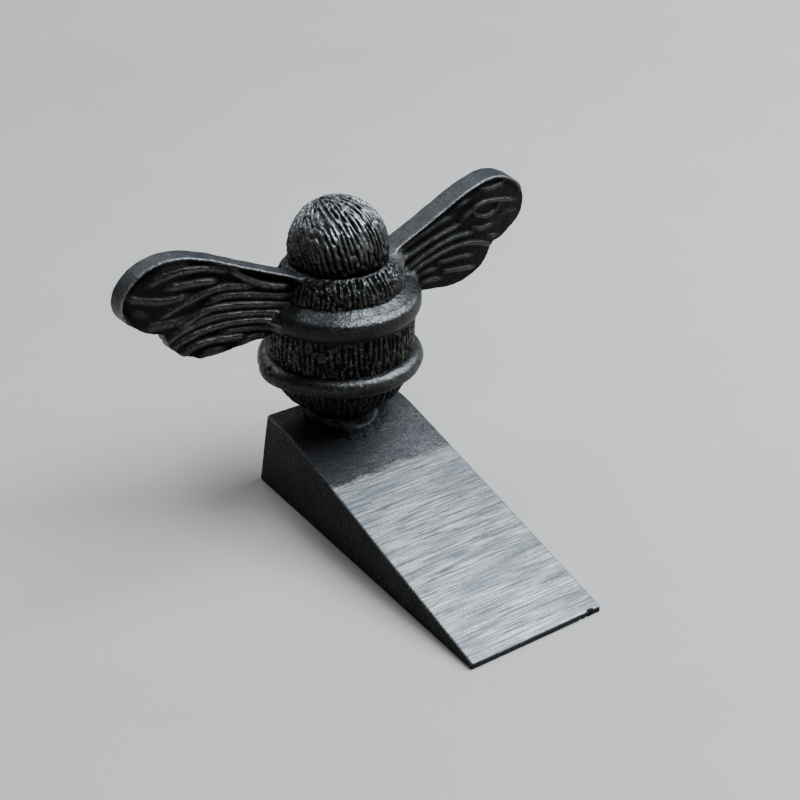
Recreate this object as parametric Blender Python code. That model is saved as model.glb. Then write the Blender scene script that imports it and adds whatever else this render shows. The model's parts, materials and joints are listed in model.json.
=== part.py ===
"""A cast-iron wedge door stop with a bee standing upright on its thick end.

The frame: metres, Z up. The origin is the middle of the wedge's sole, on the floor. The toe that slides under
the door points to -Y, the heel to +Y, and the wings spread along X. Nothing on the object moves.

The figure is a stack of turned castings around one stud. Each casting has a short spigot that centres it in
its neighbour, and a nut in the wedge's sole pulls the whole stack down onto the wedge.
"""
import math

import bmesh
import bpy
from mathutils import Matrix

MM = 0.001
GAP = 0.3 * MM
TURN_STEPS = 48

# Wedge, with distances along it measured from the toe
WEDGE_WIDTH = 41 * MM
WEDGE_LENGTH = 105 * MM
HEEL_HEIGHT = 23 * MM
TOE_THICKNESS = 1.8 * MM
SIDE_DRAFT = 0.7 * MM
HEEL_LEAN = 4.7 * MM
GROUND_END = 64 * MM
GROUND_END_HEIGHT = 17.3 * MM
RAMP_TOP = 88.3 * MM
HEEL_CORNER_RADIUS = 1.5 * MM
WEDGE_EDGE_RADIUS = 0.4 * MM

# Figure, with heights measured from the floor and radii from its own upright axis
FIGURE_FROM_TOE = 90.8 * MM
NECK_RADIUS = 9.6 * MM
FOOT_TOP = 25.3 * MM
FOOT_FLARE = 4.8 * MM
FOOT_DEPTH = 5.6 * MM
TAIL_TOP = 38.2 * MM
TAIL_TOP_RADIUS = 19.4 * MM
LOWER_BAND_CENTRE = 41.3 * MM
LOWER_BAND_RADIUS = 23.3 * MM
LOWER_BAND_TUBE = 2.8 * MM
ABDOMEN_RADIUS = 20.6 * MM
ABDOMEN_TOP = 54.7 * MM
UPPER_BAND_CENTRE = 57.8 * MM
UPPER_BAND_RADIUS = 22.7 * MM
UPPER_BAND_TUBE = 2.8 * MM
UPPER_BAND_TOP = 63.0 * MM
THORAX_RADIUS = 17.6 * MM
THORAX_RIM_RADIUS = 14.1 * MM
THORAX_TOP = 70.2 * MM
CUP_FLOOR = 65.2 * MM
HEAD_CENTRE = 74.1 * MM
HEAD_RADIUS = 13.5 * MM
SPIGOT_RADIUS = 9.0 * MM

# Wings, as plates whose outline is drawn in the X-Z plane and then swept back and leant forward
LEFT_WING_THICKNESS = 6.2 * MM
RIGHT_WING_THICKNESS = 7.4 * MM
WING_EDGE_RADIUS = 1.0 * MM
WING_FRONT_Y = -5.5 * MM
WING_PIVOT_HEIGHT = 64 * MM
WING_SWEEP = math.radians(4.9)
WING_LEAN = math.radians(3.6)
WING_CURVE_STEPS = 5
TENON_BOTTOM = 58.2 * MM
TENON_MIDDLE_Y = -0.9 * MM
TENON_THICKNESS = 3.0 * MM
TENON_OUTER = 23.5 * MM
TENON_HEAD_INNER = 12.0 * MM
TENON_HEAD_OUTER = 15.0 * MM
TENON_HEAD_WIDTH = 6.0 * MM

# M6 fixing
STUD_RADIUS = 3.0 * MM
STUD_BOTTOM = 1.0 * MM
STUD_TOP = 79.0 * MM
STUD_CHAMFER = 0.6 * MM
COUNTERBORE_RADIUS = 7.2 * MM
COUNTERBORE_DEPTH = 9.0 * MM
WASHER_RADIUS = 6.25 * MM
WASHER_THICKNESS = 1.6 * MM
NUT_ACROSS_FLATS = 10.0 * MM
NUT_HEIGHT = 5.0 * MM
NUT_CHAMFER = 0.5 * MM

HOLE_RADIUS = STUD_RADIUS + GAP
BAND_BORE_RADIUS = SPIGOT_RADIUS + GAP
FIGURE_Y = FIGURE_FROM_TOE - WEDGE_LENGTH / 2


def metal(name, colour, roughness, metallic):
    """A Principled material in one colour."""
    material = bpy.data.materials.new(name)
    material.use_nodes = True
    shader = material.node_tree.nodes["Principled BSDF"]
    shader.inputs["Base Color"].default_value = (*colour, 1.0)
    shader.inputs["Roughness"].default_value = roughness
    shader.inputs["Metallic"].default_value = metallic
    material.diffuse_color = (*colour, 1.0)
    return material


def blackened_iron(name):
    return metal(name, (0.035, 0.036, 0.038), 0.48, 0.85)


def zinc_plated(name):
    return metal(name, (0.42, 0.43, 0.44), 0.35, 1.0)


def new_object(name, bm, material, parent):
    """Turn a bmesh into a named object with its faces pointing out."""
    bmesh.ops.recalc_face_normals(bm, faces=bm.faces)
    mesh = bpy.data.meshes.new(name)
    bm.to_mesh(mesh)
    bm.free()
    if material:
        mesh.materials.append(material)
    mesh.shade_smooth()
    mesh.set_sharp_from_angle(angle=math.radians(35))
    piece = bpy.data.objects.new(name, mesh)
    piece.parent = parent
    bpy.context.scene.collection.objects.link(piece)
    return piece


def make_tool(piece):
    """Mark an object as a cutter or a guide."""
    piece.hide_render = True
    piece.display_type = "WIRE"
    return piece


def combine(piece, tool, operation):
    modifier = piece.modifiers.new(tool.name, "BOOLEAN")
    modifier.operation = operation
    modifier.solver = "EXACT"
    modifier.object = tool


def arc(centre_radius, centre_height, radius, start_deg, end_deg, steps):
    """Points along an arc of a turned outline, from one angle to the other."""
    points = []
    for step in range(steps + 1):
        angle = math.radians(start_deg + (end_deg - start_deg) * step / steps)
        points.append((centre_radius + radius * math.cos(angle), centre_height + radius * math.sin(angle)))
    return points


def turned(name, outline, material, parent):
    """Spin an outline of (radius, height) points about the upright axis.

    An outline whose two ends lie on the axis is left open, and any other one is closed into a ring.
    """
    bm = bmesh.new()
    verts = [bm.verts.new((radius, 0, height)) for radius, height in outline]
    edges = [bm.edges.new(pair) for pair in zip(verts, verts[1:])]
    if outline[0][0] > 0:
        edges.append(bm.edges.new((verts[-1], verts[0])))
    bmesh.ops.spin(bm, geom=verts + edges, axis=(0, 0, 1), cent=(0, 0, 0),
                   angle=2 * math.pi, steps=TURN_STEPS, use_merge=True)
    bmesh.ops.remove_doubles(bm, verts=bm.verts, dist=1e-6)
    return new_object(name, bm, material, parent)


def box_mesh(bm, low, high):
    """Add a box between two corners to a bmesh."""
    size = [high[axis] - low[axis] for axis in range(3)]
    middle = [(high[axis] + low[axis]) / 2 for axis in range(3)]
    placed = Matrix.Translation(middle) @ Matrix.Diagonal((*size, 1))
    bmesh.ops.create_cube(bm, size=1, matrix=placed)


def wedge_solid(name, material, parent, grow=0.0):
    """The wedge's own shape, or the same shape grown upwards, as a cutter for the foot."""
    from_toe = [
        (0, 0),
        (0, TOE_THICKNESS),
        (GROUND_END, GROUND_END_HEIGHT),
        (RAMP_TOP, HEEL_HEIGHT),
        (WEDGE_LENGTH - HEEL_LEAN, HEEL_HEIGHT),
        (WEDGE_LENGTH, 0),
    ]
    bm = bmesh.new()
    sides = []
    for side in (-1, 1):
        ring = []
        for along, height in from_toe:
            half_width = WEDGE_WIDTH / 2 - SIDE_DRAFT * height / HEEL_HEIGHT
            raised = height + grow if height else 0
            ring.append(bm.verts.new((side * half_width, along - WEDGE_LENGTH / 2, raised)))
        sides.append(ring)
        bm.faces.new(ring)
    count = len(from_toe)
    for index in range(count):
        after = (index + 1) % count
        bm.faces.new((sides[0][index], sides[0][after], sides[1][after], sides[1][index]))
    bmesh.ops.recalc_face_normals(bm, faces=bm.faces)
    if not grow:
        corners = [edge for edge in bm.edges
                   if all(vert.co.y > WEDGE_LENGTH / 2 - HEEL_LEAN * 1.01 for vert in edge.verts)
                   and abs(edge.verts[0].co.x - edge.verts[1].co.x) < SIDE_DRAFT * 1.01
                   and abs(edge.verts[0].co.z - edge.verts[1].co.z) > HEEL_HEIGHT / 2]
        bmesh.ops.bevel(bm, geom=corners, offset=HEEL_CORNER_RADIUS, segments=4, profile=0.5, affect="EDGES")
    return new_object(name, bm, material, parent)


def build_wedge():
    wedge = wedge_solid("wedge", blackened_iron("wedge_iron"), None)
    rounding = wedge.modifiers.new("rounded_edges", "BEVEL")
    rounding.width = WEDGE_EDGE_RADIUS
    rounding.segments = 2
    rounding.limit_method = "ANGLE"
    rounding.angle_limit = math.radians(40)
    return wedge


def cut_stud_hole(wedge, figure):
    """The counterbore for the nut and the clearance hole for the stud, cut in one stepped tool."""
    above = HEEL_HEIGHT + 5 * MM
    below = -1 * MM
    outline = [(0, above), (HOLE_RADIUS, above), (HOLE_RADIUS, COUNTERBORE_DEPTH),
               (COUNTERBORE_RADIUS, COUNTERBORE_DEPTH), (COUNTERBORE_RADIUS, below), (0, below)]
    combine(wedge, make_tool(turned("stud_hole_tool", outline, None, figure)), "DIFFERENCE")


def build_foot_collar(figure):
    """The flared cast ring under the neck, cut to sit on the heel and on the start of the ramp."""
    bottom = FOOT_TOP - FOOT_DEPTH
    steps = 6
    flare = []
    for step in range(steps + 1):
        share = step / steps
        flare.append((NECK_RADIUS + FOOT_FLARE * (1 - math.cos(share * math.pi / 2)) ** 0.8,
                      FOOT_TOP - FOOT_DEPTH * share))
    outline = [(HOLE_RADIUS, FOOT_TOP)] + flare + [(HOLE_RADIUS, bottom)]
    collar = turned("foot_collar", outline, blackened_iron("foot_collar_iron"), figure)
    seat = make_tool(wedge_solid("foot_seat_tool", None, None, grow=GAP))
    combine(collar, seat, "DIFFERENCE")
    bm = bmesh.new()
    back = WEDGE_LENGTH / 2 - HEEL_LEAN - WEDGE_EDGE_RADIUS
    box_mesh(bm, (-WEDGE_WIDTH, back, bottom - 5 * MM), (WEDGE_WIDTH, back + WEDGE_WIDTH, FOOT_TOP + 5 * MM))
    combine(collar, make_tool(new_object("foot_back_tool", bm, None, None)), "DIFFERENCE")


def build_tail(figure):
    """The bowl between the neck and the lower band."""
    bottom = FOOT_TOP + GAP
    steps = 8
    bowl = []
    for step in range(steps + 1):
        share = step / steps
        radius = NECK_RADIUS + (TAIL_TOP_RADIUS - NECK_RADIUS) * math.sin(share * math.pi / 2)
        bowl.append((radius, bottom + (TAIL_TOP - bottom) * share))
    spigot_top = LOWER_BAND_CENTRE - GAP / 2
    outline = [(HOLE_RADIUS, bottom)] + bowl + [(SPIGOT_RADIUS, TAIL_TOP), (SPIGOT_RADIUS, spigot_top),
                                                (HOLE_RADIUS, spigot_top)]
    turned("tail", outline, blackened_iron("tail_iron"), figure)


def build_lower_band(figure):
    ring_radius = LOWER_BAND_RADIUS - LOWER_BAND_TUBE
    rim = arc(ring_radius, LOWER_BAND_CENTRE, LOWER_BAND_TUBE, -90, 90, 8)
    outline = [(BAND_BORE_RADIUS, rim[0][1])] + rim + [(BAND_BORE_RADIUS, rim[-1][1])]
    turned("lower_band", outline, blackened_iron("lower_band_iron"), figure)


def build_abdomen(figure):
    """The drum between the bands, with a spigot into each."""
    bottom = LOWER_BAND_CENTRE + LOWER_BAND_TUBE + GAP
    spigot_bottom = LOWER_BAND_CENTRE + GAP / 2
    spigot_top = UPPER_BAND_CENTRE - GAP / 2
    outline = [
        (HOLE_RADIUS, spigot_bottom), (SPIGOT_RADIUS, spigot_bottom), (SPIGOT_RADIUS, bottom),
        (ABDOMEN_RADIUS, bottom), (ABDOMEN_RADIUS, ABDOMEN_TOP), (SPIGOT_RADIUS, ABDOMEN_TOP),
        (SPIGOT_RADIUS, spigot_top), (HOLE_RADIUS, spigot_top),
    ]
    turned("abdomen", outline, blackened_iron("abdomen_iron"), figure)


def upper_band_rim(grow):
    """The band's outer side: a lip, a seam, the round of the band and the slope up to the thorax."""
    bottom = ABDOMEN_TOP + GAP
    ring_radius = UPPER_BAND_RADIUS - UPPER_BAND_TUBE
    lip = [(ring_radius + 1.7 * MM + grow, bottom), (ring_radius + 1.7 * MM + grow, bottom + 0.5 * MM)]
    round_part = arc(ring_radius, UPPER_BAND_CENTRE, UPPER_BAND_TUBE + grow, -40, 60, 7)
    return lip + round_part + [(THORAX_RADIUS + 0.3 * MM + grow, UPPER_BAND_TOP)]


def build_upper_band(figure):
    rim = upper_band_rim(0)
    outline = [(BAND_BORE_RADIUS, rim[0][1])] + rim + [(BAND_BORE_RADIUS, UPPER_BAND_TOP)]
    return turned("upper_band", outline, blackened_iron("upper_band_iron"), figure)


def thorax_side(grow):
    """The collar's outer side, from the band up to the rim around the head."""
    bottom = UPPER_BAND_TOP + GAP
    steps = 5
    side = []
    for step in range(steps + 1):
        share = step / steps
        radius = THORAX_RADIUS - (THORAX_RADIUS - THORAX_RIM_RADIUS) * share ** 2
        side.append((radius + grow, bottom + (THORAX_TOP - bottom) * share))
    return side


def build_thorax(figure):
    """The collar that holds the wings down and carries the head in a cup."""
    bottom = UPPER_BAND_TOP + GAP
    spigot_bottom = UPPER_BAND_CENTRE + GAP / 2
    cup_radius = HEAD_RADIUS + GAP
    from_rim = math.degrees(math.asin((THORAX_TOP - HEAD_CENTRE) / cup_radius))
    to_floor = math.degrees(math.asin((CUP_FLOOR - HEAD_CENTRE) / cup_radius))
    cup = arc(0, HEAD_CENTRE, cup_radius, from_rim, to_floor, 5)
    outline = ([(HOLE_RADIUS, spigot_bottom), (SPIGOT_RADIUS, spigot_bottom), (SPIGOT_RADIUS, bottom)]
               + thorax_side(0) + cup + [(HOLE_RADIUS, CUP_FLOOR)])
    turned("thorax", outline, blackened_iron("thorax_iron"), figure)


def build_head(figure):
    """A ball with a flat seat, and a blind hole for the stud."""
    seat = CUP_FLOOR + GAP
    hole_top = STUD_TOP + GAP
    to_seat = math.degrees(math.asin((seat - HEAD_CENTRE) / HEAD_RADIUS))
    ball = arc(0, HEAD_CENTRE, HEAD_RADIUS, 90, to_seat, 16)
    ball[0] = (0, HEAD_CENTRE + HEAD_RADIUS)
    outline = ball + [(HOLE_RADIUS, seat), (HOLE_RADIUS, hole_top), (0, hole_top)]
    turned("head", outline, blackened_iron("head_iron"), figure)


def wing_plate(name, side, thickness, material, figure):
    """A rounded plate in the wing's outline: one large lobe and, past the notch, one small lobe."""
    outline = [
        (12.0, 69.0, "VECTOR"),
        (17.2, 71.2, "AUTO"),
        (31.6, 77.2, "AUTO"),
        (45.5, 82.6, "AUTO"),
        (52.3, 83.2, "AUTO"),
        (59.8, 79.8, "AUTO"),
        (64.0, 72.6, "AUTO"),
        (61.2, 66.4, "AUTO"),
        (52.6, 61.7, "VECTOR"),
        (50.4, 56.8, "AUTO"),
        (44.0, 52.8, "AUTO"),
        (36.0, 52.3, "AUTO"),
        (24.8, 53.6, "AUTO"),
        (12.0, 54.5, "VECTOR"),
    ]
    curve = bpy.data.curves.new(name, "CURVE")
    curve.dimensions = "2D"
    curve.fill_mode = "BOTH"
    curve.resolution_u = WING_CURVE_STEPS
    curve.extrude = thickness / 2 - WING_EDGE_RADIUS
    curve.bevel_depth = WING_EDGE_RADIUS
    curve.bevel_resolution = 2
    curve.offset = -WING_EDGE_RADIUS
    spline = curve.splines.new("BEZIER")
    spline.use_cyclic_u = True
    spline.bezier_points.add(len(outline) - 1)
    for point, (along, height, handle) in zip(spline.bezier_points, outline):
        point.co = (side * along * MM, height * MM - WING_PIVOT_HEIGHT, 0)
        point.handle_left_type = handle
        point.handle_right_type = handle
    drawing = bpy.data.objects.new(name + "_drawing", curve)
    bpy.context.scene.collection.objects.link(drawing)
    depsgraph = bpy.context.evaluated_depsgraph_get()
    flat = bpy.data.meshes.new_from_object(drawing.evaluated_get(depsgraph))
    bpy.data.objects.remove(drawing)

    bm = bmesh.new()
    bm.from_mesh(flat)
    bmesh.ops.remove_doubles(bm, verts=bm.verts, dist=1e-6)
    upright = Matrix.Rotation(math.pi / 2, 4, "X")
    leant = Matrix.Rotation(WING_LEAN, 4, "X")
    swept = Matrix.Rotation(side * WING_SWEEP, 4, "Z")
    middle = WING_FRONT_Y + thickness / 2
    placed = Matrix.Translation((0, middle, WING_PIVOT_HEIGHT)) @ swept @ leant @ upright
    bmesh.ops.transform(bm, matrix=placed, verts=bm.verts)
    return new_object(name, bm, material, figure)


def tenon_tool(name, side, figure, grow, top):
    """The wing's T-shaped tenon, or grown by the gap, the slot that it drops into."""
    bottom = TENON_BOTTOM - grow
    head_half = TENON_HEAD_WIDTH / 2 + grow
    stem_half = TENON_THICKNESS / 2 + grow
    plan = [
        (TENON_HEAD_INNER - grow, -head_half),
        (TENON_HEAD_OUTER + grow, -head_half),
        (TENON_HEAD_OUTER + grow, -stem_half),
        (TENON_OUTER + grow, -stem_half),
        (TENON_OUTER + grow, stem_half),
        (TENON_HEAD_OUTER + grow, stem_half),
        (TENON_HEAD_OUTER + grow, head_half),
        (TENON_HEAD_INNER - grow, head_half),
    ]
    bm = bmesh.new()
    corners = [bm.verts.new((side * along, TENON_MIDDLE_Y + across, bottom)) for along, across in plan]
    face = bm.faces.new(corners)
    raised = bmesh.ops.extrude_face_region(bm, geom=[face])
    moved = [item for item in raised["geom"] if isinstance(item, bmesh.types.BMVert)]
    bmesh.ops.translate(bm, verts=moved, vec=(0, 0, top - bottom))
    return make_tool(new_object(name, bm, None, figure))


def body_envelope_tool(figure):
    """Everything that a wing's root has to stay clear of, as one turned shape."""
    head = arc(0, HEAD_CENTRE, HEAD_RADIUS + GAP, 90, -10, 10)
    head[0] = (0, HEAD_CENTRE + HEAD_RADIUS + GAP)
    down = list(reversed(thorax_side(GAP))) + list(reversed(upper_band_rim(GAP)))
    drum = [(ABDOMEN_RADIUS + GAP, ABDOMEN_TOP), (ABDOMEN_RADIUS + GAP, ABDOMEN_TOP - 8 * MM),
            (0, ABDOMEN_TOP - 8 * MM)]
    return make_tool(turned("body_envelope_tool", head + down + drum, None, figure))


def build_wings(figure, upper_band):
    """Both wings, mirrored, each with a tenon that drops into a slot in the upper band."""
    envelope = body_envelope_tool(figure)
    tenon_top = UPPER_BAND_TOP - GAP
    sides = (("left_wing", -1, LEFT_WING_THICKNESS), ("right_wing", 1, RIGHT_WING_THICKNESS))
    for name, side, thickness in sides:
        wing = wing_plate(name, side, thickness, blackened_iron(name + "_iron"), figure)
        combine(wing, envelope, "DIFFERENCE")
        combine(wing, tenon_tool(name + "_tenon", side, figure, 0, tenon_top), "UNION")
        slot = tenon_tool(name + "_slot_tool", side, figure, GAP, UPPER_BAND_TOP + 2 * MM)
        combine(upper_band, slot, "DIFFERENCE")


def build_tie_rod(figure):
    outline = [
        (0, STUD_TOP),
        (STUD_RADIUS - STUD_CHAMFER, STUD_TOP),
        (STUD_RADIUS, STUD_TOP - STUD_CHAMFER),
        (STUD_RADIUS, STUD_BOTTOM + STUD_CHAMFER),
        (STUD_RADIUS - STUD_CHAMFER, STUD_BOTTOM),
        (0, STUD_BOTTOM),
    ]
    turned("tie_rod", outline, zinc_plated("tie_rod_steel"), figure)


def build_base_washer(figure):
    top = COUNTERBORE_DEPTH - GAP
    bottom = top - WASHER_THICKNESS
    outline = [(HOLE_RADIUS, bottom), (WASHER_RADIUS, bottom), (WASHER_RADIUS, top), (HOLE_RADIUS, top)]
    turned("base_washer", outline, zinc_plated("base_washer_steel"), figure)


def build_base_nut(figure):
    """A hexagon nut: the hexagon is what its round, chamfered blank and a six-sided bar share."""
    top = COUNTERBORE_DEPTH - GAP - WASHER_THICKNESS - GAP
    bottom = top - NUT_HEIGHT
    corner = NUT_ACROSS_FLATS / math.sqrt(3)
    outline = [
        (HOLE_RADIUS, bottom),
        (corner - 2 * NUT_CHAMFER, bottom),
        (corner + NUT_CHAMFER, bottom + NUT_CHAMFER),
        (corner + NUT_CHAMFER, top - NUT_CHAMFER),
        (corner - 2 * NUT_CHAMFER, top),
        (HOLE_RADIUS, top),
    ]
    nut = turned("base_nut", outline, zinc_plated("base_nut_steel"), figure)
    bm = bmesh.new()
    middle = Matrix.Translation((0, 0, (top + bottom) / 2))
    bmesh.ops.create_cone(bm, cap_ends=True, segments=6, radius1=corner, radius2=corner,
                          depth=3 * NUT_HEIGHT, matrix=middle)
    combine(nut, make_tool(new_object("hexagon_tool", bm, None, figure)), "INTERSECT")


def main():
    for leftover in list(bpy.data.objects):
        bpy.data.objects.remove(leftover)
    figure = bpy.data.objects.new("figure_axis", None)
    figure.location = (0, FIGURE_Y, 0)
    bpy.context.scene.collection.objects.link(figure)

    wedge = build_wedge()
    cut_stud_hole(wedge, figure)
    build_foot_collar(figure)
    build_tail(figure)
    build_lower_band(figure)
    build_abdomen(figure)
    upper_band = build_upper_band(figure)
    build_thorax(figure)
    build_head(figure)
    build_wings(figure, upper_band)
    build_tie_rod(figure)
    build_base_washer(figure)
    build_base_nut(figure)


main()
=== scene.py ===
"""The looks of the cast-iron bee door stop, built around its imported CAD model.

Shapes are worked out in millimetres in the frame's own axes, and written to meshes in metres. The figure's
turned castings are fine grids with cast fur pressed into them. The wings, the foot and the wedge are sampled
as solids on a fine grid and skinned, so that their edges, fillets and chips are real geometry.
"""

import json
import math

import bpy
import numpy as np
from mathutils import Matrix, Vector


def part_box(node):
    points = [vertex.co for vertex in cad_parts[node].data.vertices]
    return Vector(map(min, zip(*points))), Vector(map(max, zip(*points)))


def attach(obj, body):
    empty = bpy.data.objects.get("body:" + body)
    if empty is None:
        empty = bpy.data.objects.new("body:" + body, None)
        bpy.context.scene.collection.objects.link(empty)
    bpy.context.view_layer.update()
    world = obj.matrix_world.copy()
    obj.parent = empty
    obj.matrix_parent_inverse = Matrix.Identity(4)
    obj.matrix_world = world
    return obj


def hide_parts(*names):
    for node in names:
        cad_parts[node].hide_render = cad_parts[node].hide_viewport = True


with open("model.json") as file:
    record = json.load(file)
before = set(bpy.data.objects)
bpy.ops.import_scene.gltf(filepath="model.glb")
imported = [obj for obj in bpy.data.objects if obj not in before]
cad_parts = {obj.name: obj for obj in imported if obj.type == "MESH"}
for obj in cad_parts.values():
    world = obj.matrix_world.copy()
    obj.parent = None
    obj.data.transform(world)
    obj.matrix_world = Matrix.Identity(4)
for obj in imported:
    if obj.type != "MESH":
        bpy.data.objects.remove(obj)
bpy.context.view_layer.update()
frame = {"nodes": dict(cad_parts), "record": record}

MM = 0.001


# -------- places, from the frame

def box_mm(node):
    """Lowest and highest corner of a CAD node, in millimetres."""
    low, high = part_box(node)
    return np.array(low) / MM, np.array(high) / MM


def mount_mm(name):
    """A mount's point in millimetres and its unit axis."""
    mount = next(entry for entry in frame["record"]["mounts"] if entry["name"] == name)
    axis = np.array(mount["axis"], float)
    return np.array(mount["pos_m"], float) / MM, axis / np.linalg.norm(axis)


def half_width(node):
    low, high = box_mm(node)
    return (high[0] - low[0]) / 2


def heights(node):
    low, high = box_mm(node)
    return low[2], high[2]


GAP = 0.3
AXIS_X, AXIS_Y = (sum(box_mm("head")) / 2)[:2]
HEAD_RADIUS = half_width("head")
THORAX_RADIUS = half_width("thorax")
UPPER_RADIUS = half_width("upper_band")
ABDOMEN_RADIUS = half_width("abdomen")
LOWER_RADIUS = half_width("lower_band")
TAIL_RADIUS = half_width("tail")
ROD_RADIUS = half_width("tie_rod")
HOLE_RADIUS = ROD_RADIUS + GAP
HEAD_SEAT, HEAD_TOP = heights("head")
HEAD_CENTRE = HEAD_TOP - HEAD_RADIUS
THORAX_LOW, THORAX_TOP = heights("thorax")
UPPER_LOW, UPPER_HIGH = heights("upper_band")
ABDOMEN_LOW, ABDOMEN_TOP = heights("abdomen")
LOWER_LOW, LOWER_HIGH = heights("lower_band")
TAIL_LOW, TAIL_TOP = heights("tail")
FOOT_LOW, FOOT_TOP = heights("foot_collar")
ROD_LOW, ROD_TOP = heights("tie_rod")
WEDGE_LOW, WEDGE_HIGH = box_mm("wedge")
HEEL_HEIGHT = WEDGE_HIGH[2]
RAMP_POINT, RAMP_NORMAL = mount_mm("ramp")


# -------- noise, paths and skins

def lattice_noise(points, cell, seed):
    """Smooth noise from -1 to 1 at points given in millimetres, with features about one cell across."""
    size = 32
    table = np.random.default_rng(seed).uniform(-1, 1, (size, size, size)).astype(np.float32)
    scaled = [np.asarray(axis, np.float32) / cell + 16 * size for axis in points]
    floors = [np.floor(axis).astype(np.int32) for axis in scaled]
    parts = [axis - floor for axis, floor in zip(scaled, floors)]
    ease = [part * part * (3 - 2 * part) for part in parts]
    total = 0
    for i in (0, 1):
        for j in (0, 1):
            for k in (0, 1):
                corner = table[(floors[0] + i) % size, (floors[1] + j) % size, (floors[2] + k) % size]
                share = ((ease[0] if i else 1 - ease[0]) * (ease[1] if j else 1 - ease[1])
                         * (ease[2] if k else 1 - ease[2]))
                total = total + corner * share
    return total


def layered_noise(points, cell, seed, layers=3):
    total = 0
    for layer in range(layers):
        total = total + lattice_noise(points, cell / 2 ** layer, seed + layer) / 2 ** layer
    return total


def smoothstep(low, high, value):
    t = np.clip((value - low) / (high - low), 0, 1)
    return t * t * (3 - 2 * t)


def direction(azimuth, elevation):
    """The way from the aim point to a camera or a lamp, with azimuth 0 at -Y and 90 at +X."""
    a, e = math.radians(azimuth), math.radians(elevation)
    return np.array([math.sin(a) * math.cos(e), -math.cos(a) * math.cos(e), math.sin(e)])


def soft_max(a, b, k):
    """The larger of two distances, with the corner between them rounded over about k."""
    blend = np.maximum(k - np.abs(a - b), 0) / k
    return np.maximum(a, b) + blend * blend * k / 4


def soft_min(a, b, k):
    return -soft_max(-a, -b, k)


def smooth_path(points, step, closed=False):
    """A Catmull-Rom curve through 2-D points, with evenly spaced results about one step apart."""
    points = np.array(points, float)
    if closed:
        padded = np.vstack([points[-1:], points, points[:2]])
    else:
        padded = np.vstack([2 * points[:1] - points[1:2], points, 2 * points[-1:] - points[-2:-1]])
    t = np.linspace(0, 1, 16, endpoint=False)[:, None]
    fine = []
    for p0, p1, p2, p3 in zip(padded, padded[1:], padded[2:], padded[3:]):
        fine.append(0.5 * (2 * p1 + (p2 - p0) * t + (2 * p0 - 5 * p1 + 4 * p2 - p3) * t ** 2
                           + (3 * p1 - p0 - 3 * p2 + p3) * t ** 3))
    fine.append(padded[-2:-1])
    fine = np.vstack(fine)
    along = np.r_[0, np.cumsum(np.linalg.norm(np.diff(fine, axis=0), axis=1))]
    count = max(int(round(along[-1] / step)), 2) + 1
    places = np.linspace(0, along[-1], count)
    result = np.stack([np.interp(places, along, fine[:, axis]) for axis in (0, 1)], axis=1)
    return result[:-1] if closed else result


def new_mesh(name, verts, faces, attributes):
    """A smooth mesh from millimetre points, a list of face arrays and named values for each point."""
    mesh = bpy.data.meshes.new(name)
    verts = np.asarray(verts, float)
    volume = 0.0
    for group in faces:
        for second in range(1, group.shape[1] - 1):
            a, b, c = verts[group[:, 0]], verts[group[:, second]], verts[group[:, second + 1]]
            volume += np.einsum("ij,ij->", a, np.cross(b, c))
    if volume < 0:
        faces = [group[:, ::-1] for group in faces]
    sizes = np.concatenate([np.full(len(group), group.shape[1]) for group in faces])
    corners = np.concatenate([group.ravel() for group in faces])
    mesh.vertices.add(len(verts))
    mesh.vertices.foreach_set("co", (verts * MM).astype(np.float32).ravel())
    mesh.loops.add(len(corners))
    mesh.loops.foreach_set("vertex_index", corners.astype(np.int32))
    mesh.polygons.add(len(sizes))
    mesh.polygons.foreach_set("loop_start", (np.cumsum(sizes) - sizes).astype(np.int32))
    for key, values in attributes.items():
        layer = mesh.attributes.new(key, "FLOAT", "POINT")
        layer.data.foreach_set("value", np.asarray(values, np.float32).ravel())
    mesh.update(calc_edges=True)
    mesh.validate()
    mesh.shade_smooth()
    return mesh


def add_piece(name, mesh, node, material):
    """Show a mesh in place of a CAD node, riding on the door stop's one body."""
    piece = bpy.data.objects.new(name, mesh)
    bpy.context.scene.collection.objects.link(piece)
    mesh.materials.append(material)
    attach(piece, "root")
    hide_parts(node)


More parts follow.
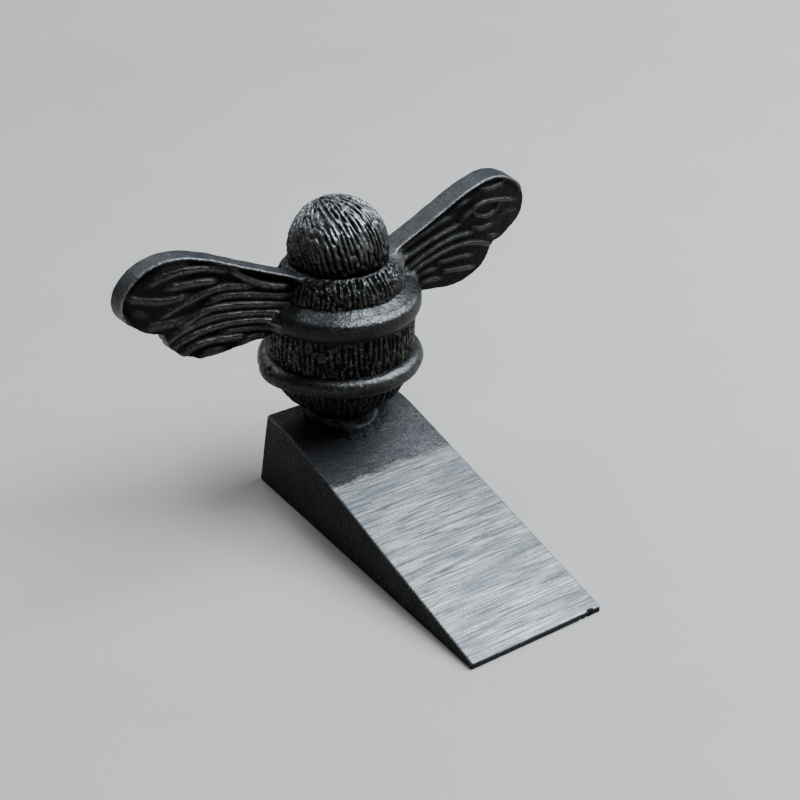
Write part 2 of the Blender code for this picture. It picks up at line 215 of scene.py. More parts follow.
def add_turned(name, node, material, outer, inner, relief, worn, closed=True, reshape=None):
    """Show a turned solid about the figure's axis in place of a CAD node.

    outer and inner are (radius, height) points that together go once round the section. relief has a row for
    each outer point and a column for each angle, and pushes the skin out along its normal. worn, of the same
    shape, is written as the "relief" attribute for the material. reshape moves the outer points afterwards.
    """
    columns = relief.shape[1]
    section = np.vstack([outer, np.array(inner, float)])
    after = np.roll(section, -1, axis=0)
    area = np.sum(section[:, 0] * after[:, 1] - after[:, 0] * section[:, 1])
    tangent = np.gradient(outer, axis=0)
    normal = np.stack([tangent[:, 1], -tangent[:, 0]], axis=1) * np.sign(area)
    normal /= np.linalg.norm(normal, axis=1, keepdims=True)

    angles = 2 * np.pi * np.arange(columns) / columns
    radius = np.repeat(section[:, :1], columns, axis=1)
    height = np.repeat(section[:, 1:], columns, axis=1)
    radius[:len(outer)] += normal[:, :1] * relief
    height[:len(outer)] += normal[:, 1:] * relief
    shade = np.full(radius.shape, 0.5)
    shade[:len(outer)] = worn

    grid = np.stack([AXIS_X + radius * np.cos(angles), AXIS_Y + radius * np.sin(angles), height], axis=2)
    if reshape:
        grid[:len(outer)] = reshape(grid[:len(outer)])

    verts, shades, rows, count = [], [], [], 0
    for index, nominal in enumerate(section[:, 0]):
        pole = nominal < 1e-6
        verts.append(grid[index, :1] if pole else grid[index])
        shades.append(shade[index].mean(keepdims=True) if pole else shade[index])
        rows.append(count + np.arange(columns) * (not pole))
        count += len(verts[-1])
    quads, triangles = [], []
    pairs = list(zip(rows, rows[1:]))
    if closed:
        pairs.append((rows[-1], rows[0]))
    for first, second in pairs:
        a, b, c, d = first, np.roll(first, -1), np.roll(second, -1), second
        if first[0] == first[-1]:
            triangles.append(np.stack([a, c, d], axis=1))
        elif second[0] == second[-1]:
            triangles.append(np.stack([a, b, d], axis=1))
        else:
            quads.append(np.stack([a, b, c, d], axis=1))
    faces = [np.concatenate(group) for group in (quads, triangles) if group]
    mesh = new_mesh(name, np.concatenate(verts), faces, {"relief": np.concatenate(shades)})
    add_piece(name, mesh, node, material)


def skin(field, axes, step):
    """Points and quads on the surface of a solid sampled along axes. The field is negative inside it."""
    inside = field < 0
    cells_shape = np.array(field.shape) - 1
    count = np.zeros(cells_shape, np.int8)
    for i in (0, 1):
        for j in (0, 1):
            for k in (0, 1):
                count += inside[i:i + cells_shape[0], j:j + cells_shape[1], k:k + cells_shape[2]]
    mixed = (count > 0) & (count < 8)
    cells = np.argwhere(mixed)
    index = np.full(cells_shape, -1, np.int64)
    index[mixed] = np.arange(len(cells))
    total = np.zeros((len(cells), 3))
    hits = np.zeros(len(cells))
    for axis in range(3):
        first, second = [other for other in range(3) if other != axis]
        for u in (0, 1):
            for v in (0, 1):
                start = cells.copy()
                start[:, first] += u
                start[:, second] += v
                end = start.copy()
                end[:, axis] += 1
                a, b = field[tuple(start.T)], field[tuple(end.T)]
                crossed = (a < 0) != (b < 0)
                point = start[crossed].astype(float)
                point[:, axis] += a[crossed] / (a[crossed] - b[crossed])
                total[crossed] += point
                hits[crossed] += 1
    verts = np.array([axis.flat[0] for axis in axes]) + step * total / hits[:, None]
    quads = []
    for axis in range(3):
        u_step, v_step = np.eye(3, dtype=int)[(axis + 1) % 3], np.eye(3, dtype=int)[(axis + 2) % 3]
        low = np.take(inside, range(field.shape[axis] - 1), axis=axis)
        high = np.take(inside, range(1, field.shape[axis]), axis=axis)
        edges = np.argwhere(low != high)
        fits = np.ones(len(edges), bool)
        for other in ((axis + 1) % 3, (axis + 2) % 3):
            fits &= (edges[:, other] >= 1) & (edges[:, other] < cells_shape[other])
        edges = edges[fits]
        ring = [edges - u_step - v_step, edges - v_step, edges, edges - u_step]
        quad = np.stack([index[tuple(cell.T)] for cell in ring], axis=1)
        outward = inside[tuple(edges.T)]
        quads.append(np.where(outward[:, None], quad, quad[:, ::-1]))
    return verts, np.concatenate(quads)


def sample_axes(low, high, step):
    """Sample places along X, Y and Z, shaped so that they broadcast into a grid."""
    x, y, z = [np.arange(a, b + step, step, dtype=np.float32) for a, b in zip(low, high)]
    return x[:, None, None], y[None, :, None], z[None, None, :]


# -------- cast fur

FUR_STEP = 0.17
BAND_STEP = 0.19


def fur_waves(radii, row_step, columns, pitch, stroke, seed):
    """Wandering strokes that run down a turned skin, one row for each radius.

    Random waves round each ring are limited to those about one pitch long, and smeared down the rows over
    the length of a stroke, so that strokes start, merge and end as they do on a hand-cut pattern. The result
    is above 0 on the crown of a stroke and below 0 in a groove, and mostly between -2 and 2.
    """
    rng = np.random.default_rng(seed)
    taps = np.exp(-0.5 * (np.arange(-2 * stroke, 2 * stroke + row_step, row_step) / (stroke / 2)) ** 2)
    noise = rng.standard_normal((len(radii) + len(taps) - 1, columns))
    spectrum = np.fft.rfft(noise, axis=1)
    smeared = sum(weight * spectrum[shift:shift + len(radii)] for shift, weight in enumerate(taps))
    waves = np.arange(smeared.shape[1])[None, :]
    centre = np.maximum(2 * np.pi * np.asarray(radii)[:, None] / pitch, 3)
    band = np.exp(-((waves - centre) / (0.34 * centre)) ** 2)
    field = np.fft.irfft(smeared * band, n=columns, axis=1)
    return field / field.std(axis=1, keepdims=True)


def ring_points(outer, columns):
    """Points on a turned skin, for noise, as three arrays of one row per outer point."""
    angles = 2 * np.pi * np.arange(columns) / columns
    radius, height = outer[:, :1], outer[:, 1:]
    return (AXIS_X + radius * np.cos(angles), AXIS_Y + radius * np.sin(angles),
            height + 0 * angles[None, :])


def fur_relief(outer, columns, pitch, depth, stroke, broken, seed, calm=0.0):
    """How far cast fur stands above or below a turned skin, and how worn its crowns are.

    broken is how much the strokes are interrupted. calm, from 0 to 1 for each point, fades them into plain
    rough casting.
    """
    row_step = np.linalg.norm(outer[1] - outer[0])
    waves = fur_waves(outer[:, 0], row_step, columns, pitch, stroke, seed)
    hairs = fur_waves(outer[:, 0], row_step, columns, 0.36 * pitch, 0.4 * stroke, seed + 1)
    points = ring_points(outer, columns)
    uneven = layered_noise(points, 5.0, seed + 7)
    breaks = layered_noise(points, 1.15, seed + 11, layers=2)
    grain = layered_noise(points, 0.62, seed + 17, layers=2)
    strength = np.clip(0.95 + 0.35 * uneven, 0.4, 1.25) * (1 - calm)
    groove = smoothstep(0.25, -0.95, waves + broken * breaks)
    rounding = np.clip(waves, 0, 1.6)
    relief = strength * (0.12 * rounding - depth * groove + 0.06 * hairs * (1 - groove))
    relief += (0.09 + 0.07 * calm) * breaks + 0.08 * grain
    wear = 0.55 + 0.20 * rounding + 0.32 * breaks + 0.35 * grain + 0.14 * hairs
    worn = np.clip((1 - strength * groove) * wear, 0, 1)
    return relief, worn


# -------- the figure's turned castings

def columns_for(radius, step=FUR_STEP):
    """How many points, a multiple of 8, go round a ring about one step apart."""
    return int(round(2 * math.pi * radius / step / 8)) * 8


SPIGOT_RADIUS = 9.0
NECK_RADIUS = 9.6
FUR_PARTING_TOWARDS = -159
FUR_PARTING_LEAN = 32
MOULD_SCAR = (-78, 24)


def build_head(material):
    """The ball head. Its fur parts to one side of the top, and is blurred where the mould met."""
    seated = math.radians(146)
    polar = np.linspace(0, seated, int(round(HEAD_RADIUS * seated / BAND_STEP)))
    outer = np.stack([HEAD_RADIUS * np.sin(polar), HEAD_CENTRE + HEAD_RADIUS * np.cos(polar)], axis=1)
    outer[0, 0] = 0
    columns = 500
    centre = np.array([AXIS_X, AXIS_Y, HEAD_CENTRE])
    tilt = math.radians(FUR_PARTING_LEAN) * smoothstep(math.radians(140), math.radians(45), polar)
    tilt = tilt[:, None, None]
    hinge = np.cross((0, 0, 1), direction(FUR_PARTING_TOWARDS, 0))

    def parted(grid):
        """Tip each ring of the ball about its centre, most at the top and not at all low down."""
        spoke = grid - centre
        along = (spoke @ hinge)[..., None] * hinge
        turned = spoke * np.cos(tilt) + np.cross(hinge, spoke) * np.sin(tilt)
        return centre + turned + along * (1 - np.cos(tilt))

    outward = (parted(np.stack(ring_points(outer, columns), axis=2)) - centre) / HEAD_RADIUS
    beside_scar = outward @ direction(*MOULD_SCAR)
    calm = 0.25 * smoothstep(0.30, 0.80, beside_scar) + 0.60 * smoothstep(0.80, 0.97, beside_scar)
    relief, worn = fur_relief(outer, columns, pitch=1.55, depth=0.50, stroke=3.2, broken=1.05, seed=3,
                              calm=calm)
    relief += 0.12
    relief[0] = relief[1].mean()
    outer[0, 1] += relief[1].mean()
    hole_top = ROD_TOP + GAP
    inner = [(HOLE_RADIUS, HEAD_SEAT), (HOLE_RADIUS, hole_top), (0, hole_top)]
    add_turned("head_casting", "head", material, outer, inner, relief, worn, closed=False, reshape=parted)


def spigot_above(shoulder, top):
    """The section of a spigot that stands on a casting, from its shoulder in to the hole for the rod."""
    return [(SPIGOT_RADIUS, shoulder), (SPIGOT_RADIUS, top), (HOLE_RADIUS, top)]


def spigot_below(shoulder, low):
    return [(HOLE_RADIUS, low), (SPIGOT_RADIUS, low), (SPIGOT_RADIUS, shoulder)]


def build_thorax(material):
    r, low, top = THORAX_RADIUS, UPPER_HIGH - 0.2, THORAX_TOP
    outer = smooth_path([
        (r - 0.1, low), (r + 0.1, low + 0.9), (r - 0.2, low + 2.5), (r - 0.9, low + 4.2),
        (r - 2.0, low + 5.8), (r - 3.1, top - 0.3), (r - 3.9, top + 0.1), (r - 4.6, top - 0.1),
        (r - 5.2, top - 0.7),
    ], 0.17)
    columns = columns_for(r)
    sideways = np.abs(ring_points(outer, columns)[0] - AXIS_X) / outer[:, :1]
    start = r - 3.0 + 2.0 * smoothstep(0.6, 1.0, sideways)
    ledge = smoothstep(start, start - 0.7, outer[:, :1])
    relief, worn = fur_relief(outer, columns, pitch=1.5, depth=0.34, stroke=2.6, broken=1.6, seed=21,
                              calm=ledge)
    cup_floor = HEAD_SEAT - GAP
    cup_radius = HEAD_RADIUS + GAP
    inner = []
    for height in np.linspace(top - 1.1, cup_floor, 6):
        inner.append((math.sqrt(cup_radius ** 2 - (height - HEAD_CENTRE) ** 2), height))
    inner += [(HOLE_RADIUS, cup_floor)] + spigot_below(low, THORAX_LOW)
    add_turned("thorax_casting", "thorax", material, outer, inner, relief, worn)


def band_relief(outer, columns, seed):
    """A band's gentle unevenness and cast grain."""
    points = ring_points(outer, columns)
    swell = layered_noise(points, 11.0, seed + 3, layers=2)
    lumps = layered_noise(points, 4.0, seed)
    grain = layered_noise(points, 0.8, seed + 5, layers=2)
    pits = np.clip(lattice_noise(points, 0.6, seed + 9) - 0.66, 0, 1)
    relief = 0.16 * swell + 0.07 * lumps + 0.035 * grain - 0.25 * pits
    worn = np.clip(0.62 + 0.10 * lumps + 0.30 * grain - 2.0 * pits, 0, 1)
    return relief, worn


def upper_band_outline():
    """The outer side of the upper band, from its lip and seam up to the thorax."""
    r, z = UPPER_RADIUS, UPPER_LOW
    return [
        (r - 2.2, z - 0.1), (r - 1.35, z - 0.05), (r - 0.95, z + 0.3), (r - 1.15, z + 0.75),
        (r - 0.55, z + 1.25), (r - 0.12, z + 2.2), (r, z + 3.3), (r - 0.05, z + 4.5), (r - 0.5, z + 5.5),
        (r - 1.5, z + 6.3), (r - 2.8, z + 6.9), (r - 4.2, z + 7.6), (r - 5.4, z + 8.1),
    ]


def build_upper_band(material):
    outer = smooth_path(upper_band_outline(), 0.2)
    columns = columns_for(UPPER_RADIUS, BAND_STEP)
    relief, worn = band_relief(outer, columns, seed=61)
    # Painted shade: the rubbed brightness fades out along the band's lower lip, as if the seam under it lay
    # in shade.
    worn *= 1 - 0.8 * smoothstep(UPPER_LOW + 2.0, UPPER_LOW + 0.6, outer[:, 1:])
    bore = SPIGOT_RADIUS + GAP
    inner = [(bore, UPPER_HIGH), (bore, UPPER_LOW)]
    add_turned("upper_band_casting", "upper_band", material, outer, inner, relief, worn)


def build_lower_band(material):
    """The lower band, with a swelling and a small blow hole on its left."""
    r, low, high = LOWER_RADIUS, LOWER_LOW, LOWER_HIGH
    tube = (high - low) / 2
    angles = np.linspace(-math.pi / 2, math.pi / 2, 9)
    round_part = [(r - tube + tube * math.cos(a), (low + high) / 2 + tube * math.sin(a)) for a in angles]
    outer = smooth_path([(r - tube - 1.6, low - 0.1)] + round_part + [(r - tube - 0.8, high + 0.15)], 0.2)
    columns = columns_for(r, BAND_STEP)
    relief, worn = band_relief(outer, columns, seed=71)
    x, y, z = ring_points(outer, columns)
    lumps = lattice_noise((x, y, z), 2.4, 77)
    swelling = np.exp(-((y - AXIS_Y - 1.0) / 6.0) ** 2 - ((z - low - 1.6) / 3.0) ** 2) * (x < AXIS_X)
    hole = np.exp(-((y - AXIS_Y) / 0.7) ** 2 - ((z - high + 1.1) / 0.6) ** 2) * (x < AXIS_X)
    relief += swelling * (1.0 + 0.35 * lumps) - 0.7 * hole
    worn = np.clip(worn - 0.8 * hole, 0, 1)
    bore = SPIGOT_RADIUS + GAP
    inner = [(bore, high), (bore, low)]
    add_turned("lower_band_casting", "lower_band", material, outer, inner, relief, worn)


def build_abdomen(material):
    low, high = LOWER_HIGH - 0.1, UPPER_LOW + 0.15
    r = ABDOMEN_RADIUS
    outer = smooth_path([(r - 0.1, low), (r + 0.05, low + 3), (r + 0.05, high - 3), (r - 0.15, high)], 0.17)
    columns = columns_for(r)
    relief, worn = fur_relief(outer, columns, pitch=1.65, depth=0.30, stroke=3.2, broken=1.5, seed=41)
    inner = spigot_above(high, ABDOMEN_TOP) + spigot_below(low, ABDOMEN_LOW)
    add_turned("abdomen_casting", "abdomen", material, outer, inner, relief, worn)


def build_tail(material):
    top = LOWER_LOW + 0.15
    r = TAIL_RADIUS
    outer = smooth_path([
        (NECK_RADIUS - 2.6, TAIL_LOW - 0.1),
        (NECK_RADIUS - 0.6, TAIL_LOW + 0.15),
        (NECK_RADIUS + 1.2, TAIL_LOW + 1.0),
        (r - 5.6, TAIL_LOW + 3.7),
        (r - 2.6, TAIL_LOW + 6.7),
        (r - 0.7, TAIL_LOW + 10.0),
        (r + 0.1, top),
    ], 0.18)
    columns = columns_for(r, BAND_STEP)
    relief, worn = fur_relief(outer, columns, pitch=1.8, depth=0.34, stroke=5.0, broken=0.8, seed=51)
    inner = spigot_above(top, TAIL_TOP) + [(HOLE_RADIUS, TAIL_LOW)]
    add_turned("tail_casting", "tail", material, outer, inner, relief, worn)


def build_tie_rod(material):
    """An M6 stud: a 1 mm thread all the way along, with turned-down ends."""
    pitch, thread_depth, row_step, columns = 1.0, 0.55, 0.125, 48
    heights = np.arange(ROD_TOP, ROD_LOW - row_step / 2, -row_step)
    outer = np.stack([np.full(len(heights), ROD_RADIUS), heights], axis=1)
    turn = np.arange(columns) / columns
    phase = (heights[:, None] / pitch + turn[None, :]) % 1.0
    flank = np.abs(2 * phase - 1)
    from_end = np.minimum(ROD_TOP - heights, heights - ROD_LOW)[:, None]
    chamfer = np.clip(0.7 - from_end, 0, 1)
    relief = -np.maximum(thread_depth * np.clip(1.25 * flank - 0.12, 0, 1), chamfer)
    outer = np.vstack([[0, ROD_TOP], outer, [0, ROD_LOW]])
    relief = np.vstack([np.zeros(columns), relief, np.zeros(columns)])
    no_bore = np.zeros((0, 2))
    add_turned("threaded_stud", "tie_rod", material, outer, no_bore, relief, 1 + relief, closed=False)


# -------- wings

WING_FRONT_Y = -5.5
WING_PIVOT_HEIGHT = 64.0
WING_SWEEP_SLOPE = 0.0857
WING_LEAN_SLOPE = 0.063
WING_DRAFT = 0.07
WING_STEP = 0.22
WING_LOW = (9.5, -11.0, 49.5)
WING_HIGH = (66.0, 9.5, 86.0)
FLOOR_DEPTH = 1.05
GROOVE_DEPTH = 1.45
RIM_LOW = 66.0
RIM_TIP_X = 58.0
TENON_MIDDLE_Y = -0.9
TENON_HALF = 1.5
TENON_LOW = 58.2
TENON_END_X = 24.0

WING_OUTLINE = [
    (10, 67.5), (14, 69.4), (18, 71.5), (24.4, 74.2), (31.6, 77.4), (38.8, 80.6), (46, 82.9),
    (51.2, 83.3), (56, 82.2), (60, 79.7), (62.9, 76.4), (64, 72.8), (63.6, 70), (62, 67.1),
    (58.4, 64.2), (55.4, 62.6), (52.7, 61.7), (51.9, 59.5), (50.5, 56.9), (48.3, 54.9), (45.2, 53.1),
    (40.8, 52), (37.2, 52), (34, 52.5), (29.6, 53.2), (24.8, 53.8), (19, 55), (10, 57),
]

# Each rib is its height, its half width, and the points that it runs through
LEFT_RIBS = [
    (0.8, 0.85, [(53.4, 80.9), (49.5, 81.3), (45, 80.8)]),
    (1.2, 1.15, [(56.2, 77), (52, 78.4), (46.1, 79), (40, 78.4), (34, 76.2)]),
    (1.1, 1.05, [(51.8, 75.3), (46.3, 74.9), (42, 74.7), (37.4, 74)]),
    (1.2, 1.05, [(34.5, 77.4), (33.2, 76.2), (30.5, 73.6), (26.8, 71), (22.5, 69), (17, 67.6)]),
    (1.1, 1.1, [(53.2, 67.3), (48.4, 69.2), (44.7, 70.3), (41, 71.3), (37.3, 71.8), (33, 71.4),
                 (27.4, 69.9)]),
    (1.1, 1.05, [(41.4, 68.2), (36.6, 69.2), (31.8, 68.7), (26.1, 67.2), (17, 64.5)]),
    (1.2, 1.1, [(48.6, 62.6), (44.5, 65), (39.3, 66.4), (33.7, 66), (26.2, 64.5), (17, 62.1)]),
    (1.2, 1.1, [(52.4, 59.6), (49.2, 61.2), (45, 62.8), (39.4, 63.6), (33.8, 63.3), (26.2, 62),
                 (18, 60.1)]),
    (1.2, 1.05, [(51.4, 57.2), (49.2, 58.4), (45.2, 59.8), (39.5, 60.8), (33.9, 60.9), (28.2, 60.2),
                 (20, 58.2)]),
    (1, 0.9, [(37.4, 58.8), (32, 58.4), (22, 56.6)]),
    (1.2, 1.1, [(49, 54.6), (45.4, 56.3), (41.6, 57), (35.9, 56.8), (30, 56.1)]),
    (1, 0.95, [(32.6, 54), (28.3, 55.1), (23, 54.7)]),
    (0.9, 0.95, [(44, 52.4), (42, 53.5), (39.1, 53.9), (35.4, 53.5)]),
    (1, 0.95, [(62.4, 75.2), (58.8, 73.4), (53.6, 71.9), (49.7, 71.5), (45.4, 71.8)]),
    (0.7, 0.8, [(60.9, 70.7), (58.7, 69.8), (56.4, 68.1)]),
    (1, 1.15, [(57.6, 65.3), (52.2, 65), (48.6, 64.8), (45.6, 65.5)]),
    (0.5, 0.9, [(41, 70.2), (44, 69.4), (46.4, 67.6)]),
]
RIGHT_RIBS = [
    (0.9, 0.85, [(46, 80.2), (50.4, 79.7), (53.4, 80.1), (55.9, 81.3)]),
    (0.9, 0.85, [(37.2, 77), (40, 77.7), (43.2, 78)]),
    (0.9, 0.85, [(18, 69.2), (24.6, 71.7), (31.8, 73.8), (36.5, 74.6)]),
    (1, 0.85, [(18, 65.9), (24.8, 68), (32.1, 70), (40, 71.4)]),
    (1, 0.8, [(39, 72.3), (43.1, 74.2), (45.3, 75.4), (48.8, 76), (53.9, 75.3), (60, 73.9)]),
    (1, 0.75, [(43.4, 74.4), (46, 72.3), (49.2, 71.4), (52.2, 72.3), (54.4, 74.8)]),
    (1, 0.85, [(19, 62.2), (26, 65), (32.3, 67), (37.9, 67.8), (45, 67.5)]),
    (1, 0.85, [(20, 59.6), (25.1, 62.3), (31, 63.7), (36.2, 64.6), (42, 64.6), (46, 63.8),
                 (52.2, 61.7)]),
    (0.9, 0.85, [(31.4, 61.4), (36.5, 60.9), (40.3, 60.8), (45, 60.3)]),
    (0.9, 0.8, [(25, 59.2), (28.5, 59.8), (32.2, 59.7)]),
    (0.9, 0.85, [(33.6, 58.1), (39, 57.2), (46.2, 56.1)]),
    (0.9, 0.8, [(25.4, 56.3), (29.5, 56.7), (34, 56.1)]),
    (0.9, 0.8, [(43.8, 69.1), (47.9, 67.9), (52.6, 68.4)]),
    (0.7, 0.75, [(49.8, 65.1), (52.2, 64.4), (54.6, 64.4)]),
    (0.6, 0.75, [(54.6, 70.5), (57.5, 71), (60.9, 70.3)]),
]


def wing_front(x, z):
    """Where the wing's swept and leaning front face lies along Y."""
    return WING_FRONT_Y + WING_SWEEP_SLOPE * x - WING_LEAN_SLOPE * (z - WING_PIVOT_HEIGHT)


def outline_distance(x, z, outline):
    """Signed distance in the X-Z plane to a closed outline, negative inside it."""
    nearest = np.full(np.broadcast(x, z).shape, 1e9)
    odd = np.zeros(nearest.shape, bool)
    for (ax, az), (bx, bz) in zip(outline, np.roll(outline, -1, axis=0)):
        dx, dz = bx - ax, bz - az
        t = np.clip(((x - ax) * dx + (z - az) * dz) / (dx * dx + dz * dz), 0, 1)
        nearest = np.minimum(nearest, (x - ax - t * dx) ** 2 + (z - az - t * dz) ** 2)
        if az != bz:
            odd ^= ((az > z) != (bz > z)) & (x < ax + (z - az) * dx / dz)
    return np.where(odd, -1, 1) * np.sqrt(nearest)


def carved_depth(x, z, ribs, fatness):
    """Depth of the carved wing front, which sinks towards the body, and the height of its rounded ribs."""
    rib_top = np.zeros(np.broadcast(x, z).shape)
    for rise, half_width, points in ribs:
        path = smooth_path(points, 0.2)
        run = 0.2 * np.arange(len(path))
        taper = np.sqrt(np.clip(np.minimum(run, run[::-1]) / 2.4 + 0.04, 0, 1))
        for (px, pz), here in zip(path, taper):
            reach = fatness * half_width * (0.55 + 0.45 * here)
            away = np.sqrt((x - px) ** 2 + (z - pz) ** 2) / reach
            rib_top = np.maximum(rib_top, rise * here * np.exp(-1.1 * away ** 3))
    floor = FLOOR_DEPTH + (GROOVE_DEPTH - FLOOR_DEPTH) * smoothstep(52.0, 38.0, x)
    return floor * (1 - rib_top / 1.3), rib_top


def body_radius(z):
    """Radius of the figure's upper body at a height, for the shoulders to grow out of."""
    rim = upper_band_outline()
    points = [(rim[0][1] - 4, ABDOMEN_RADIUS), (rim[0][1] - 0.2, ABDOMEN_RADIUS)]
    points += [(height, radius) for radius, height in rim[1:-1]]
    points += [(UPPER_HIGH + 2, THORAX_RADIUS - 0.2), (UPPER_HIGH + 4, THORAX_RADIUS - 0.9),
               (UPPER_HIGH + 5.6, THORAX_RADIUS - 2.0), (THORAX_TOP, THORAX_RADIUS - 3.6),
               (THORAX_TOP + 1, 9.0), (THORAX_TOP + 2, 0.0)]
    heights, radii = zip(*points)
    return np.interp(z, heights, radii)


LEFT_WING = dict(side=-1, thickness=6.2, ribs=LEFT_RIBS, fatness=1.22, rim_from=(66.0, 70.5), gutter=-2.0,
                 fillet=1.6, swelling=((18.4, -4.0, 58.0), (4.2, 2.9, 2.8)), seed=201)
RIGHT_WING = dict(side=1, thickness=7.4, ribs=RIGHT_RIBS, fatness=0.88, rim_from=(75.5, 80.0), gutter=1.9,
                  fillet=3.4, swelling=((15.0, -3.2, 66.8), (3.6, 3.2, 3.0)), seed=221)


def build_wing(name, material, side, thickness, ribs, fatness, rim_from, gutter, fillet, swelling, seed):
    """A wing with its recessed, ribbed front, its thick smooth edge, its shoulder and its tenon.

    fatness is the ribs' width against their drawn width. At the tip, the raised rim fades in between the two
    heights in rim_from. gutter is how far from the body the ribs begin, and fillet is how softly the wing
    meets the body. swelling is the middle and the radii of a smooth lump where the wing meets the body.
    """
    step = WING_STEP
    x, y, z = sample_axes(WING_LOW, WING_HIGH, step)
    flat_x, flat_z = x[:, :, 0], z[0]
    outline = smooth_path(WING_OUTLINE, 0.5, closed=True)
    edge = outline_distance(flat_x, flat_z, outline).astype(np.float32)
    floor_points = np.broadcast_arrays(flat_x, 0 * flat_x, flat_z)
    uneven = layered_noise(floor_points, 3.0, seed)
    grain = layered_noise(floor_points, 0.7, seed + 5, layers=2)
    carved, ribs_up = carved_depth(flat_x, flat_z, ribs, fatness)
    from_body = flat_x - body_radius(flat_z)
    rim_start = smoothstep(RIM_TIP_X - 8.0, RIM_TIP_X, flat_x) * (rim_from[0] - RIM_LOW)
    rimmed = smoothstep(RIM_LOW, RIM_LOW + rim_from[1] - rim_from[0], flat_z - rim_start)
    reached = np.maximum(smoothstep(-0.3, -1.2, edge + 0.15 * uneven), 1 - rimmed)
    off_body = smoothstep(gutter - 1.5, gutter + 1.0, from_body)
    beside_rim = 0.3 * rimmed * np.exp(-((edge + 1.8) / 0.6) ** 2)
    front = (np.maximum(carved, 0) + beside_rim) * reached * off_body + 0.08 * uneven + 0.06 * grain
    scallop = (1 - rimmed) * (0.25 - 0.45 * ribs_up)
    root_fillet = fillet + 1.5 * smoothstep(61.0, 57.0, z) + 1.4 * smoothstep(66.0, 69.0, z)

    depth = y - wing_front(x, z)
    d_front = front[:, None, :] - depth
    d_back = depth - thickness
    d_edge = (edge + 0.10 * uneven + scallop)[:, None, :] - WING_DRAFT * depth
    plate = np.maximum(soft_max(d_edge, d_back, 1.6), soft_max(d_edge, d_front, 0.5))

    reach = np.sqrt(x ** 2 + y ** 2)
    d_body = (reach - body_radius(z)) * 0.85
    blended = soft_min(plate, d_body + 0.55, root_fillet)
    blended = soft_max(blended, np.abs(depth - thickness / 2) - thickness / 2 - 2.2, 1.5)
    lump = sum(((axis - middle) / radius) ** 2 for axis, middle, radius in zip((x, y, z), *swelling))
    lump = (np.sqrt(lump) - 1) * min(swelling[1])
    shell = np.maximum(soft_min(blended, lump, 2.0), -(d_body + 1.8))
    tenon = np.maximum(np.maximum(np.abs(y - TENON_MIDDLE_Y) - TENON_HALF, box_mm("right_wing")[0][0] - x),
                       np.maximum(np.maximum(TENON_LOW - z, z - UPPER_HIGH + GAP), x - TENON_END_X))
    field = np.minimum(shell, tenon).astype(np.float32)
    verts, quads = skin(field, (x, y, z), step)

    column, row = [np.clip(np.round((verts[:, axis] - WING_LOW[axis]) / step).astype(int), 0, count - 1)
                   for axis, count in zip((0, 2), edge.shape)]
    behind_face = verts[:, 1] - wing_front(verts[:, 0], verts[:, 2])
    on_front = behind_face < GROOVE_DEPTH + 0.6
    height = np.clip(1 - front[column, row] / GROOVE_DEPTH, 0, 1) ** 2.0
    worn = np.where(on_front, height * (0.8 + 0.3 * grain[column, row]), 0.8)
    smooth_rim = smoothstep(-1.1, -0.3, edge[column, row]) * rimmed[column, row]
    smooth_root = smoothstep(gutter + 0.8, gutter - 1.2, from_body[column, row])
    rim = np.where(on_front, np.maximum(smooth_rim, smooth_root), 1.0)
    beside = ((edge[column, row] + 0.1) / 0.5) ** 2 + (behind_face / 0.6) ** 2
    arris = np.exp(-beside) * rimmed[column, row]
    # Partly rubbing, partly painted highlight: the lump where the wing meets the body gets bright arris
    # specks too, lighting a patch that lies in the head's shadow.
    lump_middle, lump_radii = (np.array(values) for values in swelling)
    lump_reach = np.sum(((verts - lump_middle) / lump_radii) ** 2, axis=1)
    arris = np.maximum(arris, 0.7 * np.exp(-(lump_reach / 1.6) ** 2))
    verts = verts + np.array([0, AXIS_Y, 0])
    verts[:, 0] = AXIS_X + side * verts[:, 0]
    mesh = new_mesh(name + "_casting", verts, [quads], {"relief": worn, "rim": rim, "arris": arris})
    add_piece(name + "_casting", mesh, name, material)


# -------- foot and wedge

SIDE_DRAFT = 0.7
HEEL_LEAN = 4.7
RAMP_BREAK = 11.5
RAMP_TOP_Y = 35.8
COUNTERBORE_RADIUS = 7.2
COUNTERBORE_DEPTH = 9.0
FOOT_REACH = 15.5
CHIP_X = 17.0
CHIP_WIDTH = 2.4
CHIP_LENGTH = 0.6
WEDGE_STEP = 0.36


def wedge_planes(x, y, z):
    """Signed distances to the wedge's ground ramp, cast top, sides, toe, back and sole."""
    ground = ((y - RAMP_POINT[1]) * RAMP_NORMAL[1] + (z - RAMP_POINT[2]) * RAMP_NORMAL[2])
    break_height = RAMP_POINT[2] - (RAMP_BREAK - RAMP_POINT[1]) * RAMP_NORMAL[1] / RAMP_NORMAL[2]
    slope = (HEEL_HEIGHT - break_height) / (RAMP_TOP_Y - RAMP_BREAK)
    cast = (z - break_height - slope * (y - RAMP_BREAK)) / math.hypot(1, slope)
    heel = z - HEEL_HEIGHT
    half = WEDGE_HIGH[0]
    sides = np.abs(x) - (half - SIDE_DRAFT * z / HEEL_HEIGHT)
    lean = HEEL_LEAN / HEEL_HEIGHT
    back = (y - WEDGE_HIGH[1] + lean * z) / math.hypot(1, lean)
    toe = WEDGE_LOW[1] - y
    sole = -z
    return ground, cast, heel, sides, back, toe, sole


